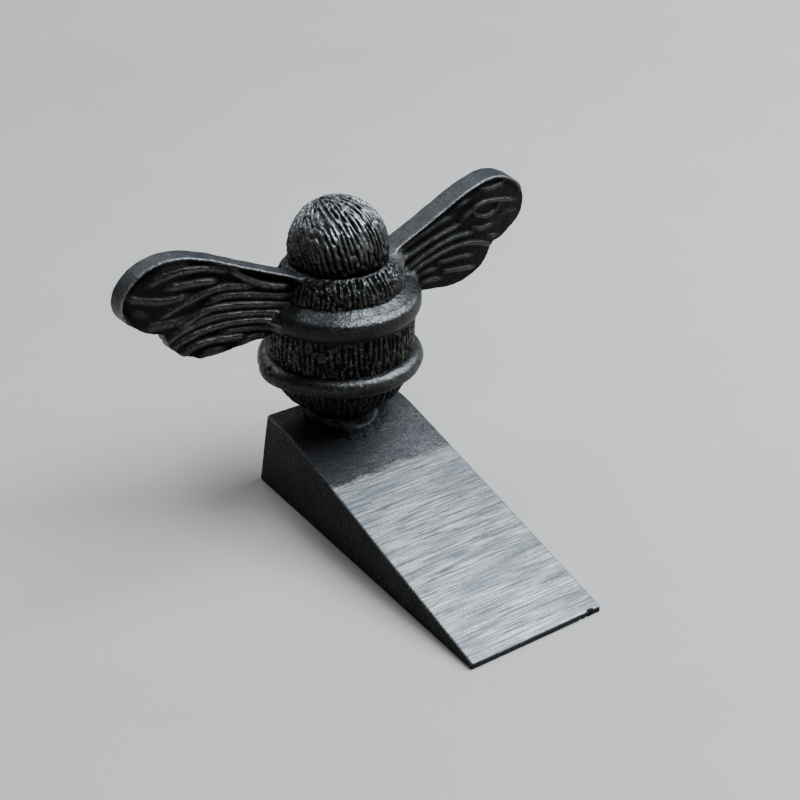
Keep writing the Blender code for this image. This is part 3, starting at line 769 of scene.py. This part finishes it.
def wedge_field(x, y, z):
    """The wedge as a solid, how far past the end of the grinding each point is, and its two main skins."""
    ground, cast, heel, sides, back, toe, sole = wedge_planes(x, y, z)
    points = np.broadcast_arrays(x, y, z)
    lumps = layered_noise(points, 3.5, 101).astype(np.float32)
    grain = layered_noise(points, 1.0, 111, layers=2).astype(np.float32)
    past = points[1] - RAMP_BREAK - 0.6 + 0.9 * lumps + 0.5 * grain - 0.02 * points[0]
    as_cast = smoothstep(-1.0, 1.2, past)
    rough = 0.045 * lumps + 0.025 * grain
    top = soft_max(np.maximum(ground, cast - 0.05), heel, 1.2) - rough * as_cast
    walls = soft_max(sides - 0.6 * rough, back - 0.6 * rough, 2.0)
    walls = soft_max(walls, toe - 0.3 * rough, 0.35)
    upper = soft_max(top, walls, 0.35 + 0.1 * np.clip(lumps, -1, 1))
    solid = soft_max(upper, sole, 0.4)
    from_chip = ((points[0] - CHIP_X) / CHIP_WIDTH) ** 2 + ((points[1] - WEDGE_LOW[1]) / CHIP_LENGTH) ** 2
    chip_zone = np.exp(-from_chip)
    solid = solid + chip_zone * np.clip(1.3 * grain + 0.3, 0, 0.9)
    reach = np.sqrt((points[0] - AXIS_X) ** 2 + (points[1] - AXIS_Y) ** 2)
    bore = np.maximum(reach - COUNTERBORE_RADIUS, points[2] - COUNTERBORE_DEPTH)
    hole = np.minimum(bore, reach - HOLE_RADIUS)
    return soft_max(solid, -hole, 0.5), past, top, walls


def settle(verts, solid):
    """Move points that lie near a solid's skin onto it."""
    nudge = 0.05
    for _ in range(2):
        slope = np.zeros_like(verts)
        for axis in range(3):
            step = np.eye(3)[axis] * nudge
            slope[:, axis] = (solid(*(verts + step).T) - solid(*(verts - step).T)) / (2 * nudge)
        reach = np.clip(solid(*verts.T) / np.maximum(np.sum(slope ** 2, axis=1), 0.25), -0.2, 0.2)
        verts = verts - slope * reach[:, None]
    return verts


def build_wedge(material):
    step = WEDGE_STEP
    low = WEDGE_LOW - 1.0
    high = WEDGE_HIGH + 1.0
    x, y, z = sample_axes(low, high, step)
    field = wedge_field(x, y, z)[0].astype(np.float32)
    verts, quads = skin(field, (x, y, z), step)
    verts = settle(verts, lambda *place: wedge_field(*place)[0])
    _, past, top, walls = wedge_field(verts[:, 0], verts[:, 1], verts[:, 2])
    on_top = smoothstep(0.30, 0.12, np.abs(top)) * (verts[:, 2] > 0.3)
    ground = smoothstep(2.4, -2.0, past) * on_top
    arris = np.exp(-(np.maximum(np.abs(top), np.abs(walls)) / 0.3) ** 2)
    mesh = new_mesh("wedge_casting", verts, [quads], {"ground": ground, "top": on_top, "arris": arris})
    add_piece("wedge_casting", mesh, "wedge", material)


def build_foot(material):
    """The ragged cast ring where the neck meets the wedge."""
    step = 0.24
    low = (AXIS_X - FOOT_REACH - 1.0, AXIS_Y - FOOT_REACH - 1.0, FOOT_LOW - 2.0)
    high = (AXIS_X + FOOT_REACH + 1.0, AXIS_Y + FOOT_REACH + 1.0, FOOT_TOP + 1.5)
    x, y, z = sample_axes(low, high, step)
    ground, cast, heel, sides, back, _, _ = wedge_planes(x, y, z)
    top = soft_max(soft_max(cast, heel, 2.0), ground, 0.5)
    points = np.broadcast_arrays(x, y, z)
    lumps = layered_noise(points, 3.2, 131)
    grain = layered_noise(points, 1.0, 141)
    reach = np.sqrt((points[0] - AXIS_X) ** 2 + (points[1] - AXIS_Y) ** 2)
    neck = np.maximum(reach - NECK_RADIUS - 0.3 * lumps, points[2] - FOOT_TOP - 0.1)
    ring = np.sqrt(((reach - NECK_RADIUS - 1.7 - 0.9 * lumps) / 1.6) ** 2 + (top / 0.7) ** 2) - 1
    lump = soft_min(neck, ring * 0.9, 1.6)
    merged = soft_min(lump, top + 0.5, 1.1) - 0.09 * lumps - 0.06 * grain
    trimmed = np.maximum(np.maximum(merged, -(top + 0.9)), reach - FOOT_REACH - 0.8 * lumps)
    trimmed = soft_max(trimmed, soft_max(back, sides, 2.0) + 0.35, 1.0)
    field = np.maximum(trimmed, HOLE_RADIUS - reach).astype(np.float32)
    verts, quads = skin(field, (x, y, z), step)
    rise = wedge_planes(verts[:, 0], verts[:, 1], verts[:, 2])
    above = np.maximum(rise[1], rise[2])
    worn = smoothstep(0.0, 1.6, above) * smoothstep(4.5, 1.5, above)
    mesh = new_mesh("foot_casting", verts, [quads], {"relief": worn})
    add_piece("foot_casting", mesh, "foot_collar", material)


# -------- materials

class Graph:
    """A small helper that adds nodes to one material and links them."""

    def __init__(self, name):
        self.material = bpy.data.materials.new(name)
        self.material.use_nodes = True
        self.nodes = self.material.node_tree.nodes
        self.links = self.material.node_tree.links
        self.shader = self.nodes["Principled BSDF"]
        self.place = self.nodes.new("ShaderNodeTexCoord").outputs["Object"]

    def part(self, vector, axis):
        split = self.nodes.new("ShaderNodeSeparateXYZ")
        self.links.new(vector, split.inputs[0])
        return split.outputs[axis]

    def upward(self):
        """How far the skin faces up, from -1 to 1."""
        return self.part(self.nodes.new("ShaderNodeNewGeometry").outputs["Normal"], "Z")

    def across(self):
        """Place along X, in metres."""
        return self.part(self.place, "X")

    def reflection_tinted(self, colour):
        """Painted reflection: a colour turned cooler where the skin faces up, as if reflecting the bluish
        lamps, and browner where it faces out or down, as if reflecting a brownish floor.
        """
        tint = self.mix(self.spread(self.upward(), 0.1, 0.8), FLOOR_REFLECTION_TINT, UPWARD_REFLECTION_TINT)
        return self.mix(1.0, colour, tint, blend_type="MULTIPLY")

    def feed(self, value, socket):
        if isinstance(value, bpy.types.NodeSocket):
            self.links.new(value, socket)
        elif isinstance(value, tuple) and len(value) == 3 and socket.type == "RGBA":
            socket.default_value = (*value, 1)
        else:
            socket.default_value = value

    def attribute(self, name):
        node = self.nodes.new("ShaderNodeAttribute")
        node.attribute_name = name
        return node.outputs["Fac"]

    def stretched(self, scale):
        node = self.nodes.new("ShaderNodeMapping")
        node.inputs["Scale"].default_value = scale
        self.links.new(self.place, node.inputs["Vector"])
        return node.outputs["Vector"]

    def noise(self, cell_mm, detail=4.0, rough=0.55, vector=None):
        """Noise whose features are about cell_mm across, or in stretched space, one cell across."""
        node = self.nodes.new("ShaderNodeTexNoise")
        node.inputs["Scale"].default_value = 1 / (cell_mm * MM)
        node.inputs["Detail"].default_value = detail
        node.inputs["Roughness"].default_value = rough
        self.links.new(vector or self.place, node.inputs["Vector"])
        return node.outputs["Fac"]

    def spread(self, value, low, high, to_low=0.0, to_high=1.0):
        node = self.nodes.new("ShaderNodeMapRange")
        self.feed(value, node.inputs["Value"])
        for key, number in (("From Min", low), ("From Max", high), ("To Min", to_low), ("To Max", to_high)):
            self.feed(number, node.inputs[key])
        return node.outputs["Result"]

    def math(self, operation, a, b=0.0, clamp=False):
        node = self.nodes.new("ShaderNodeMath")
        node.operation = operation
        node.use_clamp = clamp
        self.feed(a, node.inputs[0])
        self.feed(b, node.inputs[1])
        return node.outputs["Value"]

    def mix(self, share, a, b, kind="RGBA", blend_type="MIX"):
        """Go from a to b by a share. Each kind of value has its own sockets on the one node."""
        first, result = {"FLOAT": (2, 0), "VECTOR": (4, 1), "RGBA": (6, 2)}[kind]
        node = self.nodes.new("ShaderNodeMix")
        node.data_type = kind
        node.blend_type = blend_type
        self.feed(share, node.inputs["Factor"])
        self.feed(a, node.inputs[first])
        self.feed(b, node.inputs[first + 1])
        return node.outputs[result]

    def blend(self, share, a, b):
        return self.mix(share, a, b, kind="FLOAT")

    def bump(self, height, depth_mm):
        node = self.nodes.new("ShaderNodeBump")
        node.inputs["Distance"].default_value = depth_mm * MM
        self.links.new(height, node.inputs["Height"])
        return node.outputs["Normal"]

    def finish(self, colour, roughness, metallic, normal=None):
        self.feed(colour, self.shader.inputs["Base Color"])
        self.feed(roughness, self.shader.inputs["Roughness"])
        self.feed(metallic, self.shader.inputs["Metallic"])
        if normal:
            self.links.new(normal, self.shader.inputs["Normal"])
        return self.material


HOLLOW = (0.003, 0.003, 0.003)
RUBBED = (0.34, 0.335, 0.33)
# Painted reflection tints: cool for skin facing up towards the lamps, warm for skin facing out or down
# towards the floor.
UPWARD_REFLECTION_TINT = (0.93, 1.0, 1.09)
FLOOR_REFLECTION_TINT = (1.04, 0.99, 0.93)


def cast_iron(name, low_colour, high_colour, underside_shade, low_rough, high_rough, grain_mm, grain_depth):
    """Blackened cast iron: dark in its hollows, rubbed brighter and smoother on its high spots.

    The four underside numbers paint shade on skin that faces down or sideways. The first two are how far up
    the skin faces where the painted shade is full and where it ends. The last two are how much of the rubbed
    brightness and smoothness is kept at each.
    """
    g = Graph(name)
    relief = g.attribute("relief")
    mottle = g.noise(2.6, 5.0)
    grain = g.noise(grain_mm, 3.0, 0.7)
    worn = g.math("MULTIPLY", relief, g.spread(mottle, 0.3, 0.7, 0.7, 1.1), clamp=True)
    # Painted shade: the rubbed brightness fades on skin that faces down or sideways, as if it lay in shade.
    worn = g.math("MULTIPLY", worn, g.spread(g.upward(), *underside_shade))
    colour = g.mix(worn, low_colour, high_colour)
    colour = g.mix(g.math("MULTIPLY", worn, g.spread(grain, 0.52, 0.70, 0.0, 0.7)), colour, RUBBED)
    colour = g.mix(g.spread(grain, 0.42, 0.30, 0.0, 0.7), colour, HOLLOW)
    roughness = g.math("ADD", g.spread(worn, 0.0, 0.65, low_rough, high_rough),
                       g.spread(mottle, 0.3, 0.7, -0.03, 0.04))
    normal = g.bump(grain, grain_depth)
    # Painted reflection tint on the finished colour: cool where the skin faces up, warm where it faces down.
    return g.finish(g.reflection_tinted(colour), roughness, 0.85, normal)


def wing_iron(name, high_colour):
    """Cast iron for a wing: a dark recess, rubbed ribs, and a smooth satin edge with a bright arris. On the
    lump at the wing's root the arris specks are partly rubbing and partly a painted highlight.
    """
    g = Graph(name)
    relief, rim, arris = g.attribute("relief"), g.attribute("rim"), g.attribute("arris")
    mottle = g.noise(3.0, 5.0)
    grain = g.noise(0.7, 3.0, 0.7)
    worn = g.math("MULTIPLY", relief, g.spread(mottle, 0.3, 0.7, 0.75, 1.1), clamp=True)
    recess = g.mix(worn, HOLLOW, high_colour)
    satin = g.mix(g.spread(mottle, 0.3, 0.7), (0.052, 0.053, 0.056), (0.082, 0.084, 0.089))
    colour = g.mix(rim, recess, satin)
    colour = g.mix(g.math("MULTIPLY", g.spread(grain, 0.5, 0.72, 0.0, 0.3), worn), colour, RUBBED)
    colour = g.mix(g.spread(grain, 0.42, 0.30, 0.0, 0.6), colour, HOLLOW)
    # The arris specks: rubbed edges, and on the root lump partly a painted highlight.
    chafed = g.math("MULTIPLY", arris, g.spread(grain, 0.42, 0.60, 0.1, 0.9), clamp=True)
    colour = g.mix(chafed, colour, RUBBED)
    roughness = g.math("ADD", g.blend(rim, g.spread(worn, 0.0, 0.6, 0.6, 0.23), 0.5),
                       g.spread(mottle, 0.3, 0.7, -0.04, 0.05))
    # Painted reflection tint on the finished colour: cool where the skin faces up, warm where it faces down.
    return g.finish(g.reflection_tinted(colour), roughness, 0.85, g.bump(grain, 0.12))


def wedge_iron(name):
    """The wedge: black cast skin, a ramp ground bright across its width, and worn arrises."""
    g = Graph(name)
    ground, top, arris = g.attribute("ground"), g.attribute("top"), g.attribute("arris")
    ragged = g.noise(0.7, 4.0, 0.7)
    smeared = g.noise(1.0, 4.0, 0.6, g.stretched((0.25, 1.4, 1.4)))
    patches = g.noise(9.0, 5.0)
    bare = g.math("ADD", ground, g.spread(smeared, 0.3, 0.7, -0.26, 0.26))
    bare = g.math("ADD", bare, g.spread(ragged, 0.3, 0.7, -0.20, 0.20))
    bare = g.spread(bare, 0.08, g.spread(g.across(), -0.006, 0.012, 0.70, 1.20))

    grain = g.noise(0.7, 4.0, 0.65)
    side_colour = g.mix(g.spread(grain, 0.4, 0.7), (0.008, 0.009, 0.008), (0.032, 0.033, 0.030))
    skin_colour = g.mix(g.spread(grain, 0.35, 0.7), (0.040, 0.042, 0.046), (0.125, 0.13, 0.138))
    skin_colour = g.mix(g.spread(patches, 0.35, 0.65, 0.0, 0.45), skin_colour, (0.03, 0.032, 0.036))
    # Painted shade: the cast skin on the top darkens towards -X, left of the foot, where the figure's shadow
    # and its reflection fall.
    skin_colour = g.mix(g.spread(g.across(), -0.020, 0.006, 0.6, 0.0), skin_colour, (0.022, 0.024, 0.028))
    skin_colour = g.mix(top, side_colour, skin_colour)
    side_rough = g.spread(patches, 0.3, 0.7, 0.58, 0.68)
    top_rough = g.spread(patches, 0.3, 0.7, 0.46, 0.56)
    skin_rough = g.blend(top, side_rough, top_rough)
    skin_normal = g.bump(grain, 0.09)

    fine = g.noise(1.0, 3.0, 0.72, g.stretched((0.08, 3.4, 3.4)))
    lines = g.noise(1.0, 3.0, 0.55, g.stretched((0.035, 1.5, 1.5)))
    cloud = g.noise(1.0, 2.0, 0.5, g.stretched((0.05, 0.20, 0.20)))
    grit = g.noise(0.35, 2.0, 0.7)
    pits = g.noise(0.8, 3.0, 0.65)
    steel = g.mix(g.spread(fine, 0.42, 0.58), (0.060, 0.071, 0.083), (0.49, 0.495, 0.49))
    steel = g.mix(g.spread(lines, 0.52, 0.62, 0.0, 0.36), steel, (0.075, 0.09, 0.105))
    steel = g.mix(g.spread(lines, 0.47, 0.37, 0.0, 0.40), steel, (0.52, 0.515, 0.50))
    steel = g.mix(g.spread(cloud, 0.40, 0.66, 0.0, 0.7), steel, (0.115, 0.138, 0.160))
    steel = g.mix(g.spread(grit, 0.50, 0.66, 0.0, 0.75), steel, (0.07, 0.08, 0.095))
    steel = g.mix(g.spread(pits, 0.66, 0.74, 0.0, 0.85), steel, (0.02, 0.022, 0.025))
    steel_rough = g.spread(fine, 0.3, 0.7, 0.52, 0.42)
    steel_normal = g.bump(fine, 0.04)

    rubbed = g.math("MULTIPLY", arris, g.spread(ragged, 0.35, 0.6, 0.1, 1.0), clamp=True)
    colour = g.mix(bare, skin_colour, steel)
    colour = g.mix(g.math("MULTIPLY", rubbed, 0.45), colour, (0.25, 0.26, 0.28))
    roughness = g.blend(bare, skin_rough, steel_rough)
    normal = g.mix(bare, skin_normal, steel_normal, kind="VECTOR")
    metallic = g.blend(bare, 0.85, 1.0)
    return g.finish(colour, roughness, metallic, normal)


def zinc(name):
    """Dull zinc plating, slightly blotched, with fine scuffs."""
    g = Graph(name)
    blotch = g.noise(2.0, 5.0)
    scuff = g.noise(0.3, 4.0, 0.7)
    colour = g.mix(g.spread(blotch, 0.3, 0.7), (0.34, 0.35, 0.36), (0.55, 0.56, 0.57))
    roughness = g.spread(blotch, 0.3, 0.7, 0.28, 0.45)
    return g.finish(colour, roughness, 1.0, g.bump(scuff, 0.02))


# -------- stage

CAMERA_AZIMUTH = -34.2
CAMERA_ELEVATION = 29.7
CAMERA_DISTANCE = 0.4727
CAMERA_AIM = (0.0396, 0.0669, 0.0)
CAMERA_LENS = 66.26
SENSOR = 36.0
LAMP_AIM = (0, 0.02, 0.03)
LAMP_DISTANCE = 1.1
# Each softbox is its name, azimuth, elevation, width, height, power and colour
SOFTBOXES = [
    ("window", 75, 52, 0.80, 0.95, 26.0, (0.88, 0.95, 1.0)),
    ("overhead", 25, 64, 0.5, 0.6, 4.5, (0.92, 0.97, 1.0)),
    ("rear", -170, 49, 1.2, 0.9, 5.2, (1, 1, 1)),
]
BACKDROP = (0.60, 0.605, 0.60)
BACKDROP_STARTS = (0.45, 1.5)


def place_facing(thing, aim, azimuth, elevation, distance):
    """Put a lamp or the camera at a distance from the aim point, pointing at it."""
    back = direction(azimuth, elevation)
    thing.location = np.array(aim) + back * distance
    thing.rotation_euler = (math.radians(90 - elevation), 0, math.radians(azimuth))
    bpy.context.scene.collection.objects.link(thing)


def add_softbox(name, azimuth, elevation, width, height, power, colour):
    lamp = bpy.data.lights.new(name, "AREA")
    lamp.shape = "RECTANGLE"
    lamp.size = width
    lamp.size_y = height
    lamp.energy = power
    lamp.color = colour
    place_facing(bpy.data.objects.new(name, lamp), LAMP_AIM, azimuth, elevation, LAMP_DISTANCE)


def pale_floor():
    """Plain matt paint. Far off, where the lamps fade, it takes on the backdrop's tone."""
    g = Graph("pale_floor")
    tone = g.noise(60.0, 3.0)
    colour = g.mix(tone, (0.46, 0.455, 0.44), (0.50, 0.495, 0.48))
    away = g.nodes.new("ShaderNodeVectorMath")
    away.operation = "LENGTH"
    g.links.new(g.place, away.inputs[0])
    seen = g.nodes.new("ShaderNodeLightPath").outputs["Is Camera Ray"]
    glow = g.math("MULTIPLY", g.spread(away.outputs["Value"], *BACKDROP_STARTS), seen)
    g.feed(BACKDROP, g.shader.inputs["Emission Color"])
    g.feed(glow, g.shader.inputs["Emission Strength"])
    return g.finish(colour, 0.7, 0.0)


def studio_world():
    """A faint fill light on everything, behind a pale backdrop that only the camera sees."""
    world = bpy.data.worlds.new("studio")
    world.use_nodes = True
    nodes = world.node_tree.nodes
    links = world.node_tree.links
    fill = nodes["Background"]
    fill.inputs["Color"].default_value = (0.90, 0.94, 1.0, 1)
    fill.inputs["Strength"].default_value = 0.03
    backdrop = nodes.new("ShaderNodeBackground")
    backdrop.inputs["Color"].default_value = (*BACKDROP, 1)
    choice = nodes.new("ShaderNodeMixShader")
    links.new(nodes.new("ShaderNodeLightPath").outputs["Is Camera Ray"], choice.inputs[0])
    links.new(fill.outputs[0], choice.inputs[1])
    links.new(backdrop.outputs[0], choice.inputs[2])
    links.new(choice.outputs[0], nodes["World Output"].inputs["Surface"])
    return world


def build_stage():
    camera = bpy.data.cameras.new("camera")
    camera.lens = CAMERA_LENS
    camera.sensor_width = SENSOR
    camera.clip_start = 0.01
    viewpoint = bpy.data.objects.new("camera", camera)
    place_facing(viewpoint, CAMERA_AIM, CAMERA_AZIMUTH, CAMERA_ELEVATION, CAMERA_DISTANCE)
    bpy.context.scene.camera = viewpoint

    half = 3.0
    corners = [(-half, -half, 0), (half, -half, 0), (half, half, 0), (-half, half, 0)]
    mesh = bpy.data.meshes.new("floor")
    mesh.from_pydata(corners, [], [(0, 1, 2, 3)])
    mesh.materials.append(pale_floor())
    floor = bpy.data.objects.new("floor", mesh)
    bpy.context.scene.collection.objects.link(floor)

    bpy.context.scene.world = studio_world()

    for lamp in SOFTBOXES:
        add_softbox(*lamp)


FUR_FINISH = (0.75, 0.27, 0.7, 0.16)
# Painted shade on skin that faces down or sideways, as the underside numbers for cast_iron
ROUND_SIDE_SHADE = (-0.15, 0.72, 0.0, 1.05)
UPRIGHT_SHADE = (-0.5, 0.2, 0.5, 1.0)
# Each casting's builder, and its iron: the name, the colours of its hollows and high spots, the painted
# shade on the underside, then two roughnesses, the grain's size and the grain's depth, as cast_iron takes
# them. The colours are set part by part to match how bright each part looks: the head's bright high spots
# are a painted highlight, and the much darker abdomen and tail are painted shade.
CASTINGS = [
    (build_head, "head_iron", HOLLOW, (0.27, 0.27, 0.27), ROUND_SIDE_SHADE, *FUR_FINISH),
    (build_thorax, "thorax_iron", (0.008, 0.008, 0.0075), (0.062, 0.061, 0.058), UPRIGHT_SHADE, *FUR_FINISH),
    (build_abdomen, "abdomen_iron", (0.005, 0.005, 0.0045), (0.022, 0.0215, 0.020), UPRIGHT_SHADE, *FUR_FINISH),
    (build_tail, "tail_iron", HOLLOW, (0.013, 0.013, 0.012), UPRIGHT_SHADE, *FUR_FINISH),
    (build_upper_band, "upper_band_iron", (0.014, 0.014, 0.013), (0.102, 0.101, 0.098),
     (0.05, 0.85, 0.15, 1.05), 0.5, 0.23, 0.7, 0.16),
    (build_lower_band, "lower_band_iron", (0.012, 0.012, 0.0115), (0.105, 0.104, 0.101),
     (-0.1, 0.7, 0.15, 1.05), 0.5, 0.28, 0.7, 0.16),
    (build_foot, "foot_iron", (0.010, 0.010, 0.010), (0.06, 0.06, 0.06), UPRIGHT_SHADE, 0.6, 0.5, 0.8, 0.12),
]


def main():
    for build, *iron in CASTINGS:
        build(cast_iron(*iron))
    # The two wings' rib colours differ only to match each wing's brightness: lit and shaded copies of one
    # iron, painted light and shade.
    build_wing("left_wing", wing_iron("left_wing_iron", (0.085, 0.084, 0.081)), **LEFT_WING)
    build_wing("right_wing", wing_iron("right_wing_iron", (0.060, 0.059, 0.056)), **RIGHT_WING)
    build_wedge(wedge_iron("wedge_iron"))
    build_tie_rod(zinc("tie_rod_zinc"))
    for node in ("base_nut", "base_washer"):
        part = frame["nodes"][node]
        part.data.materials.clear()
        part.data.materials.append(zinc(node + "_zinc"))
    build_stage()


main()
bpy.context.view_layer.update()
